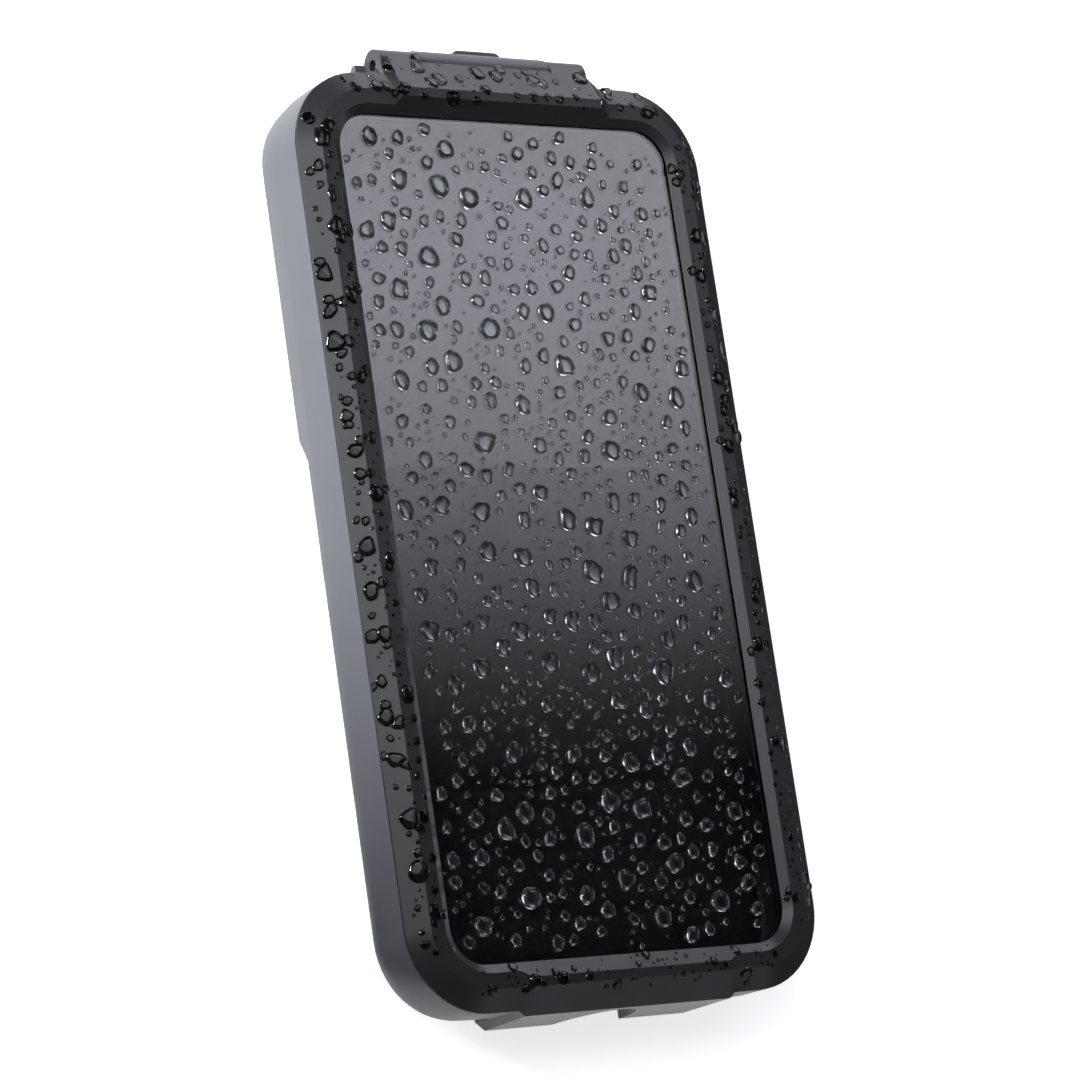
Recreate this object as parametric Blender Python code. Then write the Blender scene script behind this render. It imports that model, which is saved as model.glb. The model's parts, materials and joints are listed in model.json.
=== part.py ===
"""Waterproof universal phone case, closed.

A deep rear shell and a lid frame with a clear window meet at a seam that runs round the case.
The lid turns on a steel pin at the top and snaps shut with a skirt over the bottom end of the
shell, where a finger scoop opens it again. A seal lies in the shell's rim, a retainer ring holds
the window film in the lid, and foam pads line the pocket.

The case lies on its back: X runs across it, Y along it with the hinge at +Y, and Z out of the
window. Sizes are in metres. Meshes are drawn about the middle of the case outline, and the empty
case_frame moves them so that the origin lies under the middle of the whole case.
"""

import math

import bmesh
import bpy
from mathutils import Matrix

# Outline of the case where shell and lid meet
OUTLINE_WIDTH = 0.0880
OUTLINE_LENGTH = 0.1700
OUTLINE_RADIUS = 0.0150
CORNER_STEPS = 14

# Clearance between pieces that touch
FIT = 0.0003

# Rear shell
SEAM_HEIGHT = 0.0151
STRAIGHT_WALL = 0.0080
WALL_TAPER = math.radians(8.0)
BACK_ROUND = 0.0025
BACK_ROUND_STEPS = 5
CAMERA_STEP = 0.0026
STEP_FOOT_Y = 0.0159
STEP_TOP_Y = 0.0203
WALL = 0.0036
FLOOR = 0.0020
FLOOR_FILLET = 0.0012
FLOOR_FILLET_STEPS = 3
SEAL_LEDGE_WIDTH = 0.0012
SEAL_LEDGE_DEPTH = 0.0016

# Lid frame: a slope, a flat band and an inner bevel round the window
LID_EDGE = 0.00015
SLOPE_WIDTH = 0.0038
BAND_WIDTH = 0.0028
BEVEL_WIDTH = 0.0016
LID_RISE = 0.00270
LIP_RISE = 0.0016
LIP_EDGE = 0.0001
FILM_SEAT_INSET = 0.0043

# Raised middle of the lid's two ends
TOP_HALF_WIDTH = 0.0236
TOP_NARROWING = 0.0011
RAISED_BEVEL = 0.0016
RAISED_RISE = 0.0032
END_FACE = 0.00005
TOP_BAND_OUTER = 0.0032
TOP_BAND_INNER = 0.0049
BOTTOM_BAND_OUTER = 0.0037
BOTTOM_BAND_INNER = 0.0054

# Snap skirt over the shell's bottom end
SKIRT_PROUD_FRONT = 0.0010
SKIRT_PROUD_BACK = 0.0015
SKIRT_EDGE_RISE = 0.0002
SKIRT_LIFT = 0.0013
SKIRT_INSIDE = 0.0012
SKIRT_HALF_WIDTH = 0.0233
SKIRT_FACE_HALF_WIDTH = 0.0212
SKIRT_FRONT_CORNER = 0.0221
SKIRT_BACK_CORNER = 0.0215
SKIRT_SIDE_INSET = 0.0001
SCOOP_HALF_WIDTH = 0.0072
SCOOP_HEIGHT = 0.0122
SCOOP_STEPS = 24

# Hinge
HINGE_REACH = 0.0033
HINGE_DROP = 0.0043
LID_KNUCKLE_RADIUS = 0.0030
SHELL_KNUCKLE_RADIUS = 0.0032
SHELL_KNUCKLE_HALF = 0.0142
KNUCKLE_STEPS = 40
RAMP_SINK = 0.00006
PIN_RADIUS = 0.0008
PIN_END_DEPTH = 0.0012
WEB_DROP = 0.0023
WEB_INSET = 0.0002

# Guard shelf under the hinge, and the lanyard eyelet on it
SHELF_HALF_WIDTH = 0.0239
SHELF_REACH = 0.0047
SHELF_DROP = 0.00815
SHELF_EDGE = 0.0012
SHELF_FOOT = 0.0118
EYELET_REACH = 0.0092
EYELET_X = 0.0035
EYELET_HALF_WIDTH = 0.0053
EYELET_DROP = 0.0085
EYELET_THICKNESS = 0.0016
EYELET_BAR = 0.0012
EYELET_SIDE = 0.0013
EYELET_SLOT_START = 0.0062

# Window film and its retainer
FILM_THICKNESS = 0.0006
RETAINER_INSET = 0.0049
RETAINER_WIDTH = 0.0035
RETAINER_HEIGHT = 0.0017
RETAINER_BEVEL = 0.0005

# Seal
SEAL_TOP_ROUND = 0.0002

# Foam pads
PAD_THICKNESS = 0.0015
PAD_MARGIN = 0.0003
PAD_GROOVES = 7
PAD_GROOVE_WIDTH = 0.0020
PAD_GROOVE_DEPTH = 0.0007
PAD_GROOVE_HALF = 0.0300
EDGE_PAD_THICKNESS = 0.0024
EDGE_PAD_HEIGHT = 0.0060
EDGE_PAD_ROUND = 0.0007
SIDE_PAD_HALF_LENGTH = 0.0600
END_PAD_HALF_LENGTH = 0.0240

# Mounting boss on the back
BOSS_RADIUS = 0.0180
BOSS_Y = -0.0220
BOSS_DRAFT = 0.0006
SOCKET_RADIUS = 0.0120
SOCKET_DEPTH = 0.0020
SOCKET_NOTCH_REACH = 0.0152
SOCKET_NOTCH_HALF = 0.0035
BOSS_STEPS = 64

# Derived places
HALF_WIDTH = OUTLINE_WIDTH / 2
HALF_LENGTH = OUTLINE_LENGTH / 2
RIM_HEIGHT = SEAM_HEIGHT - FIT / 2
LID_UNDERSIDE = SEAM_HEIGHT + FIT / 2
BAND_HEIGHT = SEAM_HEIGHT + LID_RISE
RAISED_HEIGHT = SEAM_HEIGHT + RAISED_RISE
WINDOW_INSET = SLOPE_WIDTH + BAND_WIDTH + BEVEL_WIDTH
LIP_HEIGHT = SEAM_HEIGHT + LIP_RISE
LIP_UNDERSIDE = LIP_HEIGHT - LIP_EDGE
FILM_TOP = LIP_UNDERSIDE - FIT
FILM_UNDERSIDE = FILM_TOP - FILM_THICKNESS
LEDGE_HEIGHT = RIM_HEIGHT - SEAL_LEDGE_DEPTH
TOP_HALF_AT_HINGE = TOP_HALF_WIDTH - TOP_NARROWING
HINGE_Y = HALF_LENGTH + HINGE_REACH
HINGE_Z = SEAM_HEIGHT - HINGE_DROP
PIN_BORE_RADIUS = PIN_RADIUS + FIT
PIN_HALF = TOP_HALF_AT_HINGE - PIN_END_DEPTH
LID_KNUCKLE_END = TOP_HALF_AT_HINGE + 2 * END_FACE
LID_KNUCKLE_INNER = SHELL_KNUCKLE_HALF + FIT
SHELF_Z = SEAM_HEIGHT - SHELF_DROP
SKIRT_RECESS_INSET = SKIRT_INSIDE + FIT
TAPER_TOP = SEAM_HEIGHT - STRAIGHT_WALL
FRAME_SHIFT = (SKIRT_PROUD_BACK - EYELET_REACH) / 2


def clear_scene():
    for old in list(bpy.data.objects):
        bpy.data.objects.remove(old, do_unlink=True)


def make_material(name, colour, roughness, metallic=0.0, alpha=1.0):
    material = bpy.data.materials.new(name)
    material.use_nodes = True
    shader = material.node_tree.nodes["Principled BSDF"]
    shader.inputs["Base Color"].default_value = (*colour, 1.0)
    shader.inputs["Roughness"].default_value = roughness
    shader.inputs["Metallic"].default_value = metallic
    shader.inputs["Alpha"].default_value = alpha
    return material


def make_object(name, mesh_data, material=None):
    """Turns a finished bmesh into an object with outward faces."""
    bmesh.ops.recalc_face_normals(mesh_data, faces=mesh_data.faces)
    mesh = bpy.data.meshes.new(name)
    mesh_data.to_mesh(mesh)
    mesh_data.free()
    shape = bpy.data.objects.new(name, mesh)
    bpy.context.scene.collection.objects.link(shape)
    if material:
        mesh.materials.append(material)
        mesh.shade_smooth()
        mesh.set_sharp_from_angle(angle=math.radians(25.0))
    return shape


def arc(centre_x, centre_y, radius, start, end, steps):
    """Points of an arc in the plane, both ends included; angles in degrees."""
    points = []
    for step in range(steps + 1):
        angle = math.radians(start + (end - start) * step / steps)
        points.append((centre_x + radius * math.cos(angle), centre_y + radius * math.sin(angle)))
    return points


def corner_columns(sign_x, sign_y, start, profile):
    """One column of points for each step round a corner of the outline.

    The profile lists (inset, height) pairs, from which each column takes one point a pair.
    """
    centre_x = sign_x * (HALF_WIDTH - OUTLINE_RADIUS)
    centre_y = sign_y * (HALF_LENGTH - OUTLINE_RADIUS)
    rings = [
        arc(centre_x, centre_y, OUTLINE_RADIUS - inset, start, start + 90.0, CORNER_STEPS)
        for inset, _ in profile
    ]
    heights = [height for _, height in profile]
    return [
        [(*ring[step], height) for ring, height in zip(rings, heights)]
        for step in range(CORNER_STEPS + 1)
    ]


def side_column(sign_x, y, profile):
    return [(sign_x * (HALF_WIDTH - inset), y, height) for inset, height in profile]


def end_column(sign_y, profile):
    """A column on the top or bottom end, from (x, inset, height) triples."""
    return [(x, sign_y * (HALF_LENGTH - inset), height) for x, inset, height in profile]


def mirrored(column):
    return [(-x, y, z) for x, y, z in column]


def skin_columns(columns, closed_section):
    """Faces between neighbouring columns all the way round, and across each closed section."""
    mesh_data = bmesh.new()
    rows = [[mesh_data.verts.new(point) for point in column] for column in columns]
    for index, column in enumerate(rows):
        after = rows[(index + 1) % len(rows)]
        count = len(column)
        for low in range(count if closed_section else count - 1):
            high = (low + 1) % count
            mesh_data.faces.new((column[low], after[low], after[high], column[high]))
    if closed_section:
        # Columns of different shape leave twisted faces between them, so these are split flat.
        bmesh.ops.triangulate(mesh_data, faces=mesh_data.faces)
    return mesh_data, rows


def ring_from_profile(name, profile, material):
    """A closed section swept round the case outline."""
    columns = (
        corner_columns(1, 1, 0.0, profile)
        + corner_columns(-1, 1, 90.0, profile)
        + corner_columns(-1, -1, 180.0, profile)
        + corner_columns(1, -1, 270.0, profile)
    )
    mesh_data, _ = skin_columns(columns, closed_section=True)
    return make_object(name, mesh_data, material)


def prism(name, points, low, high, material=None, axis="Z"):
    """A flat outline pushed from low to high along an axis. Along X the points are (y, z)."""
    mesh_data = bmesh.new()

    def place(point, along):
        if axis == "X":
            return (along, *point)
        if axis == "Y":
            return (point[0], along, point[1])
        return (*point, along)

    lower = [mesh_data.verts.new(place(point, low)) for point in points]
    upper = [mesh_data.verts.new(place(point, high)) for point in points]
    mesh_data.faces.new(lower)
    mesh_data.faces.new(upper)
    for index, vertex in enumerate(lower):
        after = (index + 1) % len(lower)
        mesh_data.faces.new((vertex, lower[after], upper[after], upper[index]))
    return make_object(name, mesh_data, material)


def rod_along_x(name, radius, low, high, steps, material=None):
    """A round bar on the hinge axis."""
    return prism(name, arc(HINGE_Y, HINGE_Z, radius, 0.0, 360.0, steps)[:-1], low, high, material, "X")


def rectangle(low_x, high_x, low_y, high_y):
    return [(low_x, low_y), (high_x, low_y), (high_x, high_y), (low_x, high_y)]


def rounded_rectangle(low_x, high_x, low_y, high_y, radius, steps):
    return (
        arc(high_x - radius, high_y - radius, radius, 0.0, 90.0, steps)
        + arc(low_x + radius, high_y - radius, radius, 90.0, 180.0, steps)
        + arc(low_x + radius, low_y + radius, radius, 180.0, 270.0, steps)
        + arc(high_x - radius, low_y + radius, radius, 270.0, 360.0, steps)
    )


def combine(target, tool, operation):
    """Adds or cuts with another shape, which stays in the file as a wire outline."""
    tool.hide_render = True
    tool.display_type = "WIRE"
    step = target.modifiers.new(tool.name, "BOOLEAN")
    step.operation = operation
    step.object = tool
    step.solver = "EXACT"
    tool.parent = target
    return tool


def shell_profile(back):
    """(inset, height) pairs from the back face, up the wall, over the rim and down the pocket.

    back is the height of the back face: the camera part lies lower than the rest.
    """
    centre_height = back + BACK_ROUND
    centre_inset = BACK_ROUND * math.cos(WALL_TAPER) + math.tan(WALL_TAPER) * (
        TAPER_TOP - centre_height + BACK_ROUND * math.sin(WALL_TAPER)
    )
    profile = []
    for step in range(BACK_ROUND_STEPS + 1):
        angle = math.pi / 2 + (WALL_TAPER - math.pi / 2) * step / BACK_ROUND_STEPS
        inset = centre_inset - BACK_ROUND * math.cos(angle)
        profile.append((inset, centre_height - BACK_ROUND * math.sin(angle)))
    profile += [
        (0.0, TAPER_TOP),
        (0.0, RIM_HEIGHT),
        (WALL - SEAL_LEDGE_WIDTH, RIM_HEIGHT),
        (WALL - SEAL_LEDGE_WIDTH, LEDGE_HEIGHT),
        (WALL, LEDGE_HEIGHT),
    ]
    floor = back + FLOOR
    for step in range(FLOOR_FILLET_STEPS + 1):
        angle = math.pi / 2 * step / FLOOR_FILLET_STEPS
        inset = WALL + FLOOR_FILLET * (1 - math.cos(angle))
        profile.append((inset, floor + FLOOR_FILLET * (1 - math.sin(angle))))
    return profile


def shell_body(name, material):
    """The tray: its back steps down to a deeper camera part near the hinge."""
    thin = shell_profile(CAMERA_STEP)
    deep = shell_profile(0.0)
    columns = [side_column(1, STEP_FOOT_Y, thin), side_column(1, STEP_TOP_Y, deep)]
    columns += corner_columns(1, 1, 0.0, deep) + corner_columns(-1, 1, 90.0, deep)
    left_top = len(columns)
    columns += [side_column(-1, STEP_TOP_Y, deep), side_column(-1, STEP_FOOT_Y, thin)]
    columns += corner_columns(-1, -1, 180.0, thin) + corner_columns(1, -1, 270.0, thin)
    mesh_data, rows = skin_columns(columns, closed_section=False)
    for end in (0, -1):
        edge = [row[end] for row in rows]
        mesh_data.faces.new(edge[1 : left_top + 1])
        mesh_data.faces.new(edge[left_top + 1 :] + edge[:1])
        mesh_data.faces.new((edge[0], edge[1], edge[left_top], edge[left_top + 1]))
    return make_object(name, mesh_data, material)


def build_rear_shell(material):
    shell = shell_body("rear_shell", material)

    recess_half = SKIRT_HALF_WIDTH + FIT
    recess = prism(
        "skirt_recess_cutter",
        rectangle(-recess_half, recess_half, -HALF_LENGTH - WALL, -HALF_LENGTH + SKIRT_RECESS_INSET),
        -WALL,
        SEAM_HEIGHT + WALL,
    )
    combine(shell, recess, "DIFFERENCE")
    web_room_half = TOP_HALF_WIDTH + END_FACE + FIT
    web_room = prism(
        "lid_web_room_cutter",
        rectangle(-web_room_half, web_room_half, HALF_LENGTH - WEB_INSET - FIT, HALF_LENGTH + WALL),
        LID_UNDERSIDE - WEB_DROP - 2 * FIT,
        SEAM_HEIGHT + WALL,
    )
    combine(shell, web_room, "DIFFERENCE")

    wall_y = HALF_LENGTH - WALL / 2
    shelf_end = HALF_LENGTH + SHELF_REACH
    shelf_outline = [
        (wall_y, SHELF_Z),
        (wall_y, SEAM_HEIGHT - SHELF_FOOT),
        (HALF_LENGTH, SEAM_HEIGHT - SHELF_FOOT),
        (shelf_end, SHELF_Z - SHELF_EDGE),
        (shelf_end, SHELF_Z),
    ]
    shelf = prism("guard_shelf_adder", shelf_outline, -SHELF_HALF_WIDTH, SHELF_HALF_WIDTH, axis="X")
    combine(shell, shelf, "UNION")

    knuckle = rod_along_x(
        "shell_knuckle_adder", SHELL_KNUCKLE_RADIUS, -SHELL_KNUCKLE_HALF, SHELL_KNUCKLE_HALF, KNUCKLE_STEPS
    )
    combine(shell, knuckle, "UNION")
    web_half = SHELL_KNUCKLE_HALF - END_FACE
    web_outline = [
        (wall_y, SHELF_Z - SHELF_EDGE / 2),
        (HINGE_Y + PIN_BORE_RADIUS, SHELF_Z - SHELF_EDGE / 2),
        (HINGE_Y + PIN_BORE_RADIUS, HINGE_Z),
        (wall_y, HINGE_Z),
    ]
    web = prism("knuckle_web_adder", web_outline, -web_half, web_half, axis="X")
    combine(shell, web, "UNION")

    eyelet_top = SEAM_HEIGHT - EYELET_DROP
    eyelet_end = HALF_LENGTH + EYELET_REACH
    eyelet = prism(
        "eyelet_adder",
        rounded_rectangle(
            EYELET_X - EYELET_HALF_WIDTH, EYELET_X + EYELET_HALF_WIDTH, HALF_LENGTH, eyelet_end, EYELET_BAR, 4
        ),
        eyelet_top - EYELET_THICKNESS,
        eyelet_top,
    )
    combine(shell, eyelet, "UNION")
    slot_half = EYELET_HALF_WIDTH - EYELET_SIDE
    slot = prism(
        "eyelet_slot_cutter",
        rectangle(
            EYELET_X - slot_half,
            EYELET_X + slot_half,
            HALF_LENGTH + EYELET_SLOT_START,
            eyelet_end - EYELET_BAR,
        ),
        eyelet_top - 2 * EYELET_THICKNESS,
        eyelet_top + EYELET_THICKNESS,
    )
    combine(shell, slot, "DIFFERENCE")

    bore_half = SHELL_KNUCKLE_HALF + FIT
    bore = rod_along_x(
        "shell_bore_cutter", PIN_BORE_RADIUS, -bore_half, bore_half, KNUCKLE_STEPS // 2
    )
    combine(shell, bore, "DIFFERENCE")
    add_mounting_boss(shell)
    return shell


def add_mounting_boss(shell):
    """A low round boss as deep as the camera part, with a twist-lock socket in its face."""
    mesh_data = bmesh.new()
    bmesh.ops.create_cone(
        mesh_data,
        cap_ends=True,
        segments=BOSS_STEPS,
        radius1=BOSS_RADIUS - BOSS_DRAFT,
        radius2=BOSS_RADIUS,
        depth=CAMERA_STEP + FLOOR / 4,
        matrix=Matrix.Translation((0.0, BOSS_Y, (CAMERA_STEP + FLOOR / 4) / 2)),
    )
    combine(shell, make_object("boss_adder", mesh_data), "UNION")
    ring = arc(0.0, BOSS_Y, SOCKET_RADIUS, 0.0, 360.0, BOSS_STEPS // 2)[:-1]
    socket = prism("socket_cutter", ring, -SOCKET_DEPTH, SOCKET_DEPTH)
    combine(shell, socket, "DIFFERENCE")
    notch = prism(
        "socket_notch_cutter",
        rectangle(
            -SOCKET_NOTCH_REACH,
            SOCKET_NOTCH_REACH,
            BOSS_Y - SOCKET_NOTCH_HALF,
            BOSS_Y + SOCKET_NOTCH_HALF,
        ),
        -SOCKET_DEPTH,
        SOCKET_DEPTH - END_FACE,
    )
    combine(shell, notch, "DIFFERENCE")


def lid_section(outer, underside_outer, underside_inner):
    """Closed lid section: outer side first, then the part that is the same all the way round.

    outer holds the pairs from the lower outer edge to the edge of the window bevel.
    """
    return (
        outer
        + [
            (WINDOW_INSET, LIP_HEIGHT),
            (WINDOW_INSET, LIP_UNDERSIDE),
            (FILM_SEAT_INSET, LIP_UNDERSIDE),
            (FILM_SEAT_INSET, LID_UNDERSIDE),
        ]
        + [underside_inner, underside_outer]
    )


def plain_section(inside=SKIRT_INSIDE):
    """Slope, band and bevel as they run round most of the lid.

    inside is where a skirt or web that grows down from the underside has its inner face.
    """
    outer = [
        (0.0, LID_UNDERSIDE),
        (0.0, LID_UNDERSIDE + LID_EDGE),
        (SLOPE_WIDTH, BAND_HEIGHT),
        (SLOPE_WIDTH + BAND_WIDTH, BAND_HEIGHT),
    ]
    return lid_section(outer, (inside / 2, LID_UNDERSIDE), (inside, LID_UNDERSIDE))


def at_x(x, section):
    return [(x, inset, height) for inset, height in section]


def bottom_columns():
    """Right half of the lid's bottom end, from its side towards the middle."""
    plain = plain_section()
    inner = (SKIRT_INSIDE, LID_UNDERSIDE)
    side = lid_section(
        [(SKIRT_SIDE_INSET, SKIRT_LIFT)] + plain[1:4],
        (SKIRT_INSIDE, SKIRT_LIFT),
        inner,
    )
    raised = lid_section(
        [
            (-SKIRT_PROUD_BACK, SKIRT_LIFT),
            (-SKIRT_PROUD_FRONT, SEAM_HEIGHT + SKIRT_EDGE_RISE),
            (BOTTOM_BAND_OUTER, RAISED_HEIGHT),
            (BOTTOM_BAND_INNER, RAISED_HEIGHT),
        ],
        (SKIRT_INSIDE, SKIRT_LIFT),
        inner,
    )
    raised_x = [SKIRT_BACK_CORNER, SKIRT_FRONT_CORNER] + [SKIRT_FACE_HALF_WIDTH] * 7
    raised_x.append(SKIRT_BACK_CORNER)
    return [
        end_column(-1, at_x(SKIRT_HALF_WIDTH + END_FACE, plain)),
        end_column(-1, at_x(SKIRT_HALF_WIDTH, side)),
        end_column(-1, [(x, *pair) for x, pair in zip(raised_x, raised)]),
    ]


def ramp_foot():
    """Where the ramp of the hinge side ends inside the lid's knuckle: (inset, height)."""
    run = HINGE_REACH + TOP_BAND_OUTER
    fall = RAISED_HEIGHT - HINGE_Z
    distance = math.hypot(run, fall)
    radius = LID_KNUCKLE_RADIUS - RAMP_SINK
    angle = math.atan2(fall, -run) - math.acos(radius / distance)
    return -HINGE_REACH - radius * math.cos(angle), HINGE_Z + radius * math.sin(angle)


def top_columns():
    """Right half of the lid's hinge end, from its side towards the middle."""
    plain = plain_section(WEB_INSET)
    web_outer = (WEB_INSET, LID_UNDERSIDE - WEB_DROP)
    web_inner = (WEB_INSET, LID_UNDERSIDE)
    web_core = (-HINGE_REACH, HINGE_Z)
    foot_inset, foot_height = ramp_foot()
    slope = (BAND_HEIGHT - LID_UNDERSIDE - LID_EDGE) / SLOPE_WIDTH
    low_foot = (-HINGE_REACH, LID_UNDERSIDE + LID_EDGE - slope * HINGE_REACH)
    side = lid_section([web_core, low_foot] + plain[2:4], web_outer, web_inner)
    raised = lid_section(
        [
            web_core,
            (foot_inset, foot_height),
            (TOP_BAND_OUTER, RAISED_HEIGHT),
            (TOP_BAND_INNER, RAISED_HEIGHT),
        ],
        web_outer,
        web_inner,
    )
    # The raised part is narrower at the knuckles than at the window.
    along_x = [TOP_HALF_AT_HINGE] * 2 + [TOP_HALF_WIDTH] * 6 + [TOP_HALF_AT_HINGE] * 2
    return [
        end_column(1, at_x(TOP_HALF_WIDTH + END_FACE, plain)),
        end_column(1, [(x, *pair) for x, pair in zip(along_x, side)]),
        end_column(1, [(x - RAISED_BEVEL, *pair) for x, pair in zip(along_x, raised)]),
    ]


def build_lid_frame(material):
    plain = plain_section()
    top = top_columns()
    bottom = bottom_columns()
    columns = corner_columns(1, 1, 0.0, plain) + top
    columns += [mirrored(column) for column in reversed(top)]
    columns += corner_columns(-1, 1, 90.0, plain) + corner_columns(-1, -1, 180.0, plain)
    columns += [mirrored(column) for column in bottom] + list(reversed(bottom))
    columns += corner_columns(1, -1, 270.0, plain)
    mesh_data, _ = skin_columns(columns, closed_section=True)
    lid = make_object("lid_frame", mesh_data, material)

    room = rod_along_x(
        "knuckle_room_cutter",
        SHELL_KNUCKLE_RADIUS + FIT,
        -LID_KNUCKLE_INNER,
        LID_KNUCKLE_INNER,
        KNUCKLE_STEPS,
    )
    combine(lid, room, "DIFFERENCE")
    for side, low, high in (
        ("left", -LID_KNUCKLE_END, -LID_KNUCKLE_INNER),
        ("right", LID_KNUCKLE_INNER, LID_KNUCKLE_END),
    ):
        knuckle = rod_along_x(f"{side}_knuckle_adder", LID_KNUCKLE_RADIUS, low, high, KNUCKLE_STEPS)
        combine(lid, knuckle, "UNION")
    bore = rod_along_x(
        "lid_bore_cutter", PIN_BORE_RADIUS, -LID_KNUCKLE_END - FIT, PIN_HALF + FIT, KNUCKLE_STEPS // 2
    )
    combine(lid, bore, "DIFFERENCE")

    scoop_outline = [
        (SCOOP_HALF_WIDTH * x, SKIRT_LIFT + SCOOP_HEIGHT * z)
        for x, z in arc(0.0, 0.0, 1.0, 0.0, 360.0, 2 * SCOOP_STEPS)[:-1]
    ]
    scoop = prism(
        "finger_scoop_cutter",
        scoop_outline,
        -HALF_LENGTH - WALL,
        -HALF_LENGTH + SKIRT_RECESS_INSET,
        axis="Y",
    )
    combine(lid, scoop, "DIFFERENCE")
    return lid


def build_window_film(material):
    inset = FILM_SEAT_INSET + FIT
    outline = rounded_rectangle(
        -HALF_WIDTH + inset,
        HALF_WIDTH - inset,
        -HALF_LENGTH + inset,
        HALF_LENGTH - inset,
        OUTLINE_RADIUS - inset,
        CORNER_STEPS,
    )
    return prism("window_film", outline, FILM_UNDERSIDE, FILM_TOP, material)


def build_window_retainer(material):
    top = FILM_UNDERSIDE - FIT
    bottom = top - RETAINER_HEIGHT
    inner = RETAINER_INSET + RETAINER_WIDTH
    profile = [
        (RETAINER_INSET, bottom),
        (RETAINER_INSET, top),
        (inner, top),
        (inner, bottom + RETAINER_BEVEL),
        (inner - RETAINER_BEVEL, bottom),
    ]
    return ring_from_profile("window_retainer", profile, material)


def build_seal(material):
    """A soft ring on the ledge inside the shell's rim."""
    outer = WALL - SEAL_LEDGE_WIDTH + FIT
    inner = WALL - SEAL_TOP_ROUND / 4
    bottom = LEDGE_HEIGHT + FIT
    profile = [
        (outer, bottom),
        (outer, RIM_HEIGHT - SEAL_TOP_ROUND),
        (outer + SEAL_TOP_ROUND, RIM_HEIGHT),
        (inner - SEAL_TOP_ROUND, RIM_HEIGHT),
        (inner, RIM_HEIGHT - SEAL_TOP_ROUND),
        (inner, bottom),
    ]
    return ring_from_profile("rim_seal", profile, material)


def build_back_pad(material):
    """A grooved foam sheet on the pocket floor, below the camera part."""
    inset = WALL + FLOOR_FILLET + PAD_MARGIN
    low_y = -HALF_LENGTH + inset
    high_y = STEP_FOOT_Y - FLOOR_FILLET - PAD_MARGIN
    bottom = CAMERA_STEP + FLOOR + FIT
    top = bottom + PAD_THICKNESS
    outline = rounded_rectangle(
        -HALF_WIDTH + inset,
        HALF_WIDTH - inset,
        low_y,
        high_y,
        OUTLINE_RADIUS - inset,
        CORNER_STEPS // 2,
    )
    pad = prism("back_pad", outline, bottom, top, material)
    spacing = (high_y - low_y) / (PAD_GROOVES + 1)
    mesh_data = bmesh.new()
    for groove in range(PAD_GROOVES):
        y = low_y + spacing * (groove + 1)
        box = bmesh.ops.create_cube(mesh_data, size=1.0)["verts"]
        scale = Matrix.Diagonal((2 * PAD_GROOVE_HALF, PAD_GROOVE_WIDTH, 2 * PAD_GROOVE_DEPTH, 1.0))
        bmesh.ops.transform(mesh_data, matrix=Matrix.Translation((0.0, y, top)) @ scale, verts=box)
    combine(pad, make_object("pad_groove_cutter", mesh_data), "DIFFERENCE")
    return pad


def build_edge_pads(material):
    """Four foam strips on the pocket walls, above the back pad."""
    low = CAMERA_STEP + FLOOR + 2 * FIT + PAD_THICKNESS
    high = low + EDGE_PAD_HEIGHT
    outer_x = HALF_WIDTH - WALL - FIT
    outer_y = HALF_LENGTH - WALL - FIT
    inner_x = outer_x - EDGE_PAD_THICKNESS
    inner_y = outer_y - EDGE_PAD_THICKNESS
    side = SIDE_PAD_HALF_LENGTH
    end = END_PAD_HALF_LENGTH
    pads = []
    for name, box in (
        ("left_pad", (-outer_x, -inner_x, -side, side)),
        ("right_pad", (inner_x, outer_x, -side, side)),
        ("top_pad", (-end, end, inner_y, outer_y)),
        ("bottom_pad", (-end, end, -outer_y, -inner_y)),
    ):
        pad = prism(name, rounded_rectangle(*box, EDGE_PAD_ROUND, 3), low, high, material)
        pads.append(pad)
    return pads


def join_frame(name, pieces, place, parent=None):
    """Hangs pieces on an empty, leaving each where its mesh was drawn."""
    frame = bpy.data.objects.new(name, None)
    bpy.context.scene.collection.objects.link(frame)
    frame.location = place
    frame.parent = parent
    for piece in pieces:
        piece.parent = frame
        if parent:
            piece.location = [-value for value in place]
    return frame


def main():
    clear_scene()
    shell_plastic = make_material("shell_plastic", (0.040, 0.041, 0.045), 0.42)
    lid_plastic = make_material("lid_plastic", (0.030, 0.030, 0.033), 0.40)
    clear_film = make_material("clear_film", (0.90, 0.92, 0.93), 0.05, alpha=0.35)
    black_plastic = make_material("black_plastic", (0.012, 0.012, 0.013), 0.50)
    seal_rubber = make_material("seal_rubber", (0.015, 0.015, 0.016), 0.60)
    pin_steel = make_material("pin_steel", (0.55, 0.55, 0.56), 0.25, metallic=1.0)
    foam = make_material("foam", (0.020, 0.020, 0.022), 0.90)

    fixed = [
        build_rear_shell(shell_plastic),
        build_seal(seal_rubber),
        build_back_pad(foam),
        *build_edge_pads(foam),
        rod_along_x("hinge_pin", PIN_RADIUS, -PIN_HALF, PIN_HALF, KNUCKLE_STEPS // 2, pin_steel),
    ]
    moving = [
        build_lid_frame(lid_plastic),
        build_window_film(clear_film),
        build_window_retainer(black_plastic),
    ]
    case_frame = join_frame("case_frame", fixed, (0.0, FRAME_SHIFT, 0.0))
    join_frame("lid_hinge", moving, (0.0, HINGE_Y, HINGE_Z), case_frame)


main()
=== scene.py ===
# %% [markdown]
# # A wet waterproof phone case
# The case is a dark moulded tray with a hinged lid that holds a clear window. The hard parts come
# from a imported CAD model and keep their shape. Here they get their finish, the soft parts are made
# again as soft things, and rain drops lie on the lid.

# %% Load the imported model
import json
import math
import random

import bmesh
import bpy
from mathutils import Matrix, Vector
from mathutils.bvhtree import BVHTree

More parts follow.
